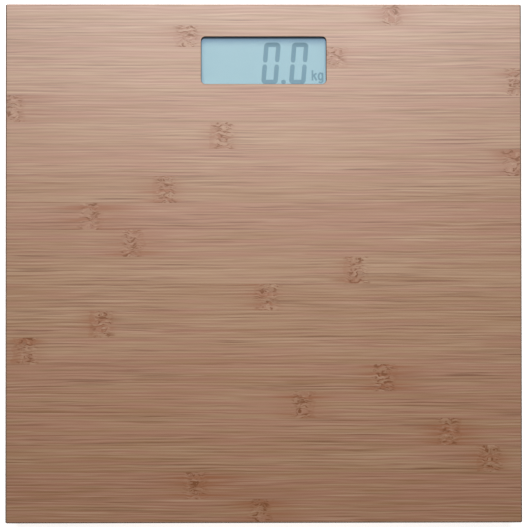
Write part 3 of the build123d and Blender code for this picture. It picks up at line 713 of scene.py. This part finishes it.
def makeRubber():
    material, tree, shader = newMaterial("soleRubber", (0.07, 0.07, 0.072), 0.82)
    place = inMillimetres(tree)
    skin = useGroup(tree, mouldGrain, Vector=place, Scale=rubber["grain"])
    film = useGroup(tree, settledDust, Vector=place, Amount=rubber["dust"])["Mask"]
    colour = mixColour(tree, skin["Shade"], rubber["dark"], rubber["light"])
    feed(tree, shader, Base_Color=mixColour(tree, film, colour, rubber["dustTone"]),
         Roughness=spread(tree, skin["Shade"], *rubber["rough"]),
         Normal=bump(tree, skin["Height"], rubber["depth"], 0.6))
    return material


def makeMetal(name, bright, dull, rough, along):
    material, tree, shader = newMaterial(name, bright[:3], rough, 1.0)
    place = inMillimetres(tree)
    brushed = useGroup(tree, brushedLines, Vector=place, Along=along)
    wearAndShade = useGroup(tree, edgeWear, Vector=place, **metals["edge"])
    colour = mixColour(tree, times(tree, brushed["Stain"], metals["stainShare"]), bright, dull)
    colour = mixColour(tree, times(tree, wearAndShade["Mask"], metals["edgeShare"]), colour, metals["wornEdge"])
    less, more = metals["roughSpan"]
    gloss = plus(tree, spread(tree, brushed["Lines"], rough + less, rough + more),
                 times(tree, brushed["Stain"], metals["stainRough"]))
    feed(tree, shader, Base_Color=colour, Roughness=gloss,
         Normal=bump(tree, brushed["Lines"], metals["lineDepth"], 0.4, wearAndShade["Normal"]))
    return material


def makeCircuit():
    material, tree, shader = newMaterial("circuitLaminate", (0.03, 0.16, 0.07), 0.28)
    place = inMillimetres(tree)
    tracks = put(tree, "ShaderNodeTexBrick", {"Vector": place, **circuit["tracks"]},
                 offset=0.35, squash=1.4).outputs["Fac"]
    dots = cells(tree, stretch(tree, place, circuit["padScale"]), scatter=circuit["padScatter"])
    pads = fade(tree, dots, *circuit["pads"])
    weave = put(tree, "ShaderNodeTexChecker", {"Vector": place, "Scale": circuit["weave"]}).outputs["Fac"]
    mask = mixColour(tree, spread(tree, weave, 0.25, 0.55), *circuit["mask"])
    mask = mixColour(tree, times(tree, tracks, circuit["trackShare"]), mask, circuit["trackTone"])
    feed(tree, shader, Base_Color=mixColour(tree, pads, mask, circuit["padTone"]), Metallic=pads,
         Roughness=spread(tree, noise(tree, place, 0.5, detail=3.0), 0.2, 0.38),
         Normal=bump(tree, plus(tree, tracks, pads), 0.00003, 0.5))
    return material


def makeSoft(name, dark, light, rough, scale, depth):  # cloudy with a fine skin
    material, tree, shader = newMaterial(name, dark[:3], rough)
    place = inMillimetres(tree)
    cloud = fade(tree, noise(tree, place, scale * 0.12, detail=3.0, rough=0.6), 0.3, 0.7)
    skin = cells(tree, place, scale, feature="SMOOTH_F1")
    feed(tree, shader, Base_Color=mixColour(tree, cloud, dark, light),
         Roughness=spread(tree, cloud, rough - 0.08, rough + 0.1), Normal=bump(tree, skin, depth, 0.6))
    return material


def makeZebra():
    material, tree, shader = newMaterial("zebraRubber", (0.05, 0.05, 0.05), 0.7)
    bars = put(tree, "ShaderNodeTexWave", {"Vector": inMillimetres(tree), "Scale": zebra["scale"],
                                           "Distortion": 0.2}).outputs["Fac"]
    colour = mixColour(tree, fade(tree, bars, 0.4, 0.6), zebra["dark"], zebra["light"])
    feed(tree, shader, Base_Color=colour, Roughness=spread(tree, bars, 0.6, 0.8),
         Normal=bump(tree, bars, 0.00003, 0.4))
    return material


# the three leads of a foot lie side by side, so each colour is a band across the foot's own line
# (mm, degrees)
leads = {
    "turns": {"front_left": 67.96, "front_right": 112.04, "rear_left": 0.0, "rear_right": 180.0},
    "spots": {"front_left": (-114, -114.75), "front_right": (114, -114.75),
              "rear_left": (-114, 114.75), "rear_right": (114, 114.75)},
    "pitch": 1.5, "scuffTone": (0.30, 0.29, 0.27, 1), "scuffShare": 0.25,
    "colours": ((0.42, 0.03, 0.025, 1), (0.025, 0.025, 0.027, 1), (0.75, 0.74, 0.70, 1)),
}


def makeLeads(corner):
    colours = leads["colours"]
    material, tree, shader = newMaterial("leadSleeve_" + corner, colours[0][:3], 0.4)
    place = inMillimetres(tree)
    turned = put(tree, "ShaderNodeMapping", {"Vector": place, "Location": (*leads["spots"][corner], 0.0),
                                             "Rotation": (0, 0, math.radians(leads["turns"][corner]))},
                 vector_type="TEXTURE").outputs[0]
    share = over(tree, axes(tree, turned)[1], leads["pitch"] * len(colours))
    bands = steppedRamp(tree, plus(tree, share, 0.5), colours)
    scuff = fade(tree, noise(tree, place, 0.6, detail=3.0), 0.5, 0.75)
    colour = mixColour(tree, times(tree, scuff, leads["scuffShare"]), bands, leads["scuffTone"])
    feed(tree, shader, Base_Color=colour, Roughness=spread(tree, scuff, 0.34, 0.6),
         Normal=bump(tree, noise(tree, place, 4.0), 0.00001, 0.4))
    return material


blackPlastic = makePlastic("blackHousing", **plastics["housing"])
blackGloss = makePlastic("blackCup", **plastics["cup"])
whitePlastic = makePlastic("whiteMoulding", **plastics["moulding"])
soleRubber = makeRubber()
cellSteel = makeMetal("cellSteel", **metals["cell"])
screwSteel = makeMetal("screwZinc", **metals["screw"])
coinNickel = makeMetal("coinNickel", **metals["coin"])
gaugeSilicone = makeSoft("gaugeSilicone", **softs["silicone"])
dress(blackPlastic, "display_housing", "battery_door", "tact_switch")
dress(makePlastic("greyButton", **plastics["button"]), "unit_button")
dress(whitePlastic, "wire_terminals", "tact_plunger", "lcd_holder", "backlight_leds")
dress(coinNickel, "battery", "battery_contact_positive", "battery_contact_negative")
dress(screwSteel, "circuit_screws")
dress(makeCircuit(), "circuit_board")
dress(makeSoft("sealFoam", **softs["foam"]), "lens_gasket")
dress(makeSoft("chipResin", **softs["resin"]), "controller_chip")
dress(makeSoft("lightGuide", **softs["lightGuide"]), "backlight_panel")
dress(makeZebra(), "zebra_strip")
for corner in corners:
    dress(blackPlastic, "foot_housing_" + corner, "cable_duct_" + corner, "cell_carrier_" + corner)
    dress(blackGloss, "foot_cup_" + corner)
    dress(soleRubber, "foot_pad_" + corner)
    dress(cellSteel, "load_cell_" + corner)
    dress(gaugeSilicone, "strain_gauge_" + corner)
    dress(makeLeads(corner), "cell_wires_" + corner)
print("underside materials done")

# wood screws with a rolled thread and a cross slot, heads down (metres, radians)
woodScrew = {
    "Shank": 0.00112, "Length": 0.009, "Tip": 0.002, "TipRadius": 0.0001,
    "Thread": 0.00036, "Pitch": 0.0011,
    "ThreadStart": 0.04, "ThreadShare": 0.80,  # shares of the length
    "Head": 0.0028, "HeadHeight": 0.0019,
    "CrownPull": 0.26, "CrownSag": 0.34,  # shares of the head's radius and height
    "SlotWidth": 0.0007, "SlotReach": 0.0035, "SlotDepth": 0.0011, "MostSpin": 3.1, "Seed": 5,
    "Sides": 20, "BladeSides": 3, "HeadSides": 36, "HeadRings": 6, "CrownRings": 5,
}
screwSeat = 0.0095
ears = {"distance": 0.0300, "angles": (60, 180, 300)}  # on each foot housing
bosses = ((0.0515, 0.137), (0.0515, 0.0967), (0.025, 0.0646))  # on each side of the display housing


def makeScrewTree():
    tree, given, out = newTree("crossSlotScrew", woodScrew)

    def raised(form, height):
        return shape(tree, "Transform", {"Geometry": form, "Translation": joinAxes(tree, z=height)})

    straight = minus(tree, given["Length"], given["Tip"])
    shank = shape(tree, "MeshCylinder", {"Vertices": given["Sides"], "Radius": given["Shank"],
                                         "Depth": straight})
    tip = shape(tree, "MeshCone", {"Vertices": given["Sides"], "Radius Top": given["TipRadius"],
                                   "Radius Bottom": given["Shank"], "Depth": given["Tip"]})
    helix = shape(tree, "CurveSpiral", {"Resolution": given["Sides"], "Start Radius": given["Shank"],
                                        "End Radius": given["Shank"],
                                        "Rotations": over(tree, given["Length"], given["Pitch"]),
                                        "Height": times(tree, given["Length"], given["ThreadShare"])})
    blade = shape(tree, "CurvePrimitiveCircle", {"Resolution": given["BladeSides"],
                                                 "Radius": given["Thread"]})
    thread = shape(tree, "CurveToMesh", {"Curve": helix, "Profile Curve": blade, "Fill Caps": True})

    # head: a disc drawn in and domed towards its crown, then slotted
    disc = shape(tree, "MeshCylinder", {"Vertices": given["HeadSides"], "Side Segments": given["HeadRings"],
                                        "Fill Segments": given["CrownRings"],
                                        "Radius": given["Head"], "Depth": given["HeadHeight"]})
    disc = raised(disc, times(tree, given["HeadHeight"], -0.5))
    x, y, z = axes(tree, shape(tree, "InputPosition"))
    crown = times(tree, given["HeadHeight"], -1.0)
    drop = over(tree, z, crown)  # 0 at the seat, 1 at the crown
    pull = minus(tree, 1.0, times(tree, calc(tree, "POWER", drop, 3.0), given["CrownPull"]))
    squared = plus(tree, times(tree, x, x), times(tree, y, y))
    share = over(tree, squared, times(tree, given["Head"], given["Head"]))
    sag = times(tree, share, calc(tree, "POWER", drop, 2.0), given["HeadHeight"], given["CrownSag"])
    place = joinAxes(tree, times(tree, x, pull), times(tree, y, pull), plus(tree, z, sag))
    domed = shape(tree, "SetPosition", {"Geometry": disc, "Position": place})
    barSize = joinAxes(tree, given["SlotReach"], given["SlotWidth"], times(tree, given["SlotDepth"], 2.0))
    bar = raised(shape(tree, "MeshCube", {"Size": barSize}), crown)
    crossbar = shape(tree, "Transform", {"Geometry": bar, "Rotation": (0, 0, math.radians(90))})
    slotted = put(tree, "GeometryNodeMeshBoolean", {"Mesh 1": domed}, operation="DIFFERENCE",
                  solver="EXACT")
    tree.links.new(bar, slotted.inputs["Mesh 2"])
    tree.links.new(crossbar, slotted.inputs["Mesh 2"])

    threadStart = times(tree, given["Length"], given["ThreadStart"])
    whole = put(tree, "GeometryNodeJoinGeometry")
    for form in (raised(shank, times(tree, straight, 0.5)), raised(tip, straight),
                 raised(thread, threadStart), slotted.outputs[0]):
        tree.links.new(form, whole.inputs[0])
    most = joinAxes(tree, z=given["MostSpin"])
    spin = put(tree, "FunctionNodeRandomValue", {"Max": most, "Seed": given["Seed"]},
               data_type="FLOAT_VECTOR")
    placed = shape(tree, "InstanceOnPoints", {"Points": given["Geometry"], "Instance": whole.outputs[0],
                                              "Rotation": spin.outputs[0]})
    settle(tree, placed, given["Material"], out)
    return tree


def earPoints():
    points = []
    for corner in corners:
        x, y = leads["spots"][corner]
        for angle in ears["angles"]:
            turn = math.radians(leads["turns"][corner] + angle)
            points.append((x / 1000 + ears["distance"] * math.cos(turn),
                           y / 1000 + ears["distance"] * math.sin(turn), screwSeat))
    return points


bossPoints = [(side * x, y, screwSeat) for side in (1, -1) for x, y in bosses]
screwTree = makeScrewTree()
footScrews = growMesh("foot_wood_screws", earPoints(), screwTree, woodScrew, screwSteel)
keep(footScrews, "scale", "steel", "foot_screws")
housingScrews = growMesh("housing_wood_screws", bossPoints, screwTree, woodScrew, screwSteel)
keep(housingScrews, "scale", "steel", "housing_screws")
print("screws done:", len(footScrews.data.polygons) + len(housingScrews.data.polygons), "faces")

# finger ribs on the sprung end of the battery door (metres)
doorGrip = {"Count": 4, "Pitch": 0.0014, "Length": 0.0074, "Radius": 0.0004, "Sides": 16}
gripStart = (0.0, 0.0618, 0.0025)


def makeGripTree():
    tree, given, out = newTree("doorRibs", doorGrip)
    rib = shape(tree, "MeshCylinder", {"Vertices": given["Sides"], "Radius": given["Radius"],
                                       "Depth": given["Length"]})
    rib = shape(tree, "Transform", {"Geometry": rib, "Rotation": (0, math.radians(90), 0)})
    row = shape(tree, "MeshLine", {"Count": given["Count"], "Offset": joinAxes(tree, y=given["Pitch"])})
    ribs = shape(tree, "InstanceOnPoints", {"Points": row, "Instance": rib})
    start = shape(tree, "InstanceOnPoints", {"Points": given["Geometry"], "Instance": ribs})
    settle(tree, start, given["Material"], out)
    return tree


doorRibs = growMesh("battery_door_ribs", [gripStart], makeGripTree(), doorGrip, blackPlastic)
keep(doorRibs, "battery_door", "black_plastic")
print("door ribs done")

# floor, light and camera (metres, degrees, lens and sensor in mm)
studio = {
    "floor": 12.0, "floorTones": ((0.86, 0.86, 0.855, 1), (0.84, 0.84, 0.835, 1)), "floorGlow": 1.0,
    "world": 0.06,
    "lamps": {
        "rearSoftbox": {"spot": (0.0, 0.80, 1.50), "size": (1.3, 0.8), "watts": 19.8, "mirrored": True},
        "overheadFill": {"spot": (0.0, 0.155, 0.50), "size": (0.3, 0.3), "watts": 1.22, "mirrored": False},
        "underFill": {"spot": (0.0, -0.1, -0.9), "size": (1.2, 1.2), "watts": 6.0, "mirrored": True}},
}
camera = {"place": (-0.005752, -0.007907, 0.85), "turn": (0.5342, -0.3827, -0.0488), "lens": 97.40,
          "sensor": 36.0, "clip": (0.01, 20.0)}


def makeFloor():
    tones = studio["floorTones"]
    material, tree, shader = newMaterial("paleFloor", tones[0][:3], 0.9,
                                         Emission_Strength=studio["floorGlow"])
    tone = mixColour(tree, noise(tree, inMillimetres(tree), 0.02, detail=3.0), *tones)
    feed(tree, shader, Base_Color=tone, Emission_Color=tone)
    letThrough(tree, shader, put(tree, "ShaderNodeNewGeometry").outputs["Backfacing"])  # clear from below
    half = studio["floor"] / 2
    mesh = bpy.data.meshes.new("floor")
    outline = [(-half, -half, 0), (half, -half, 0), (half, half, 0), (-half, half, 0)]
    mesh.from_pydata(outline, [], [(0, 1, 2, 3)])
    mesh.materials.append(material)
    floor = bpy.data.objects.new("floor", mesh)
    bpy.context.scene.collection.objects.link(floor)


def makeLamps():
    for name, given in studio["lamps"].items():
        data = bpy.data.lights.new(name, "AREA")
        data.shape = "RECTANGLE"
        data.size, data.size_y = given["size"]
        data.energy = given["watts"]
        lamp = bpy.data.objects.new(name, data)
        lamp.location = given["spot"]
        lamp.rotation_euler = (Vector() - Vector(given["spot"])).to_track_quat("-Z", "Y").to_euler()
        lamp.visible_camera = False
        lamp.visible_glossy = lamp.visible_transmission = given["mirrored"]
        bpy.context.scene.collection.objects.link(lamp)
    world = bpy.data.worlds.new("studio")
    bpy.context.scene.world = world
    world.use_nodes = True
    sky = world.node_tree.nodes["Background"].inputs
    sky["Color"].default_value = (1.0, 1.0, 1.0, 1)
    sky["Strength"].default_value = studio["world"]


def makeCamera():
    data = bpy.data.cameras.new("camera")
    data.lens = camera["lens"]
    data.sensor_width = camera["sensor"]
    data.clip_start, data.clip_end = camera["clip"]
    viewer = bpy.data.objects.new("camera", data)
    viewer.location = camera["place"]
    viewer.rotation_euler = [math.radians(angle) for angle in camera["turn"]]
    bpy.context.scene.collection.objects.link(viewer)
    bpy.context.scene.camera = viewer
    bpy.context.scene.view_settings.view_transform = "Standard"


makeFloor()
makeLamps()
makeCamera()
print("studio done")
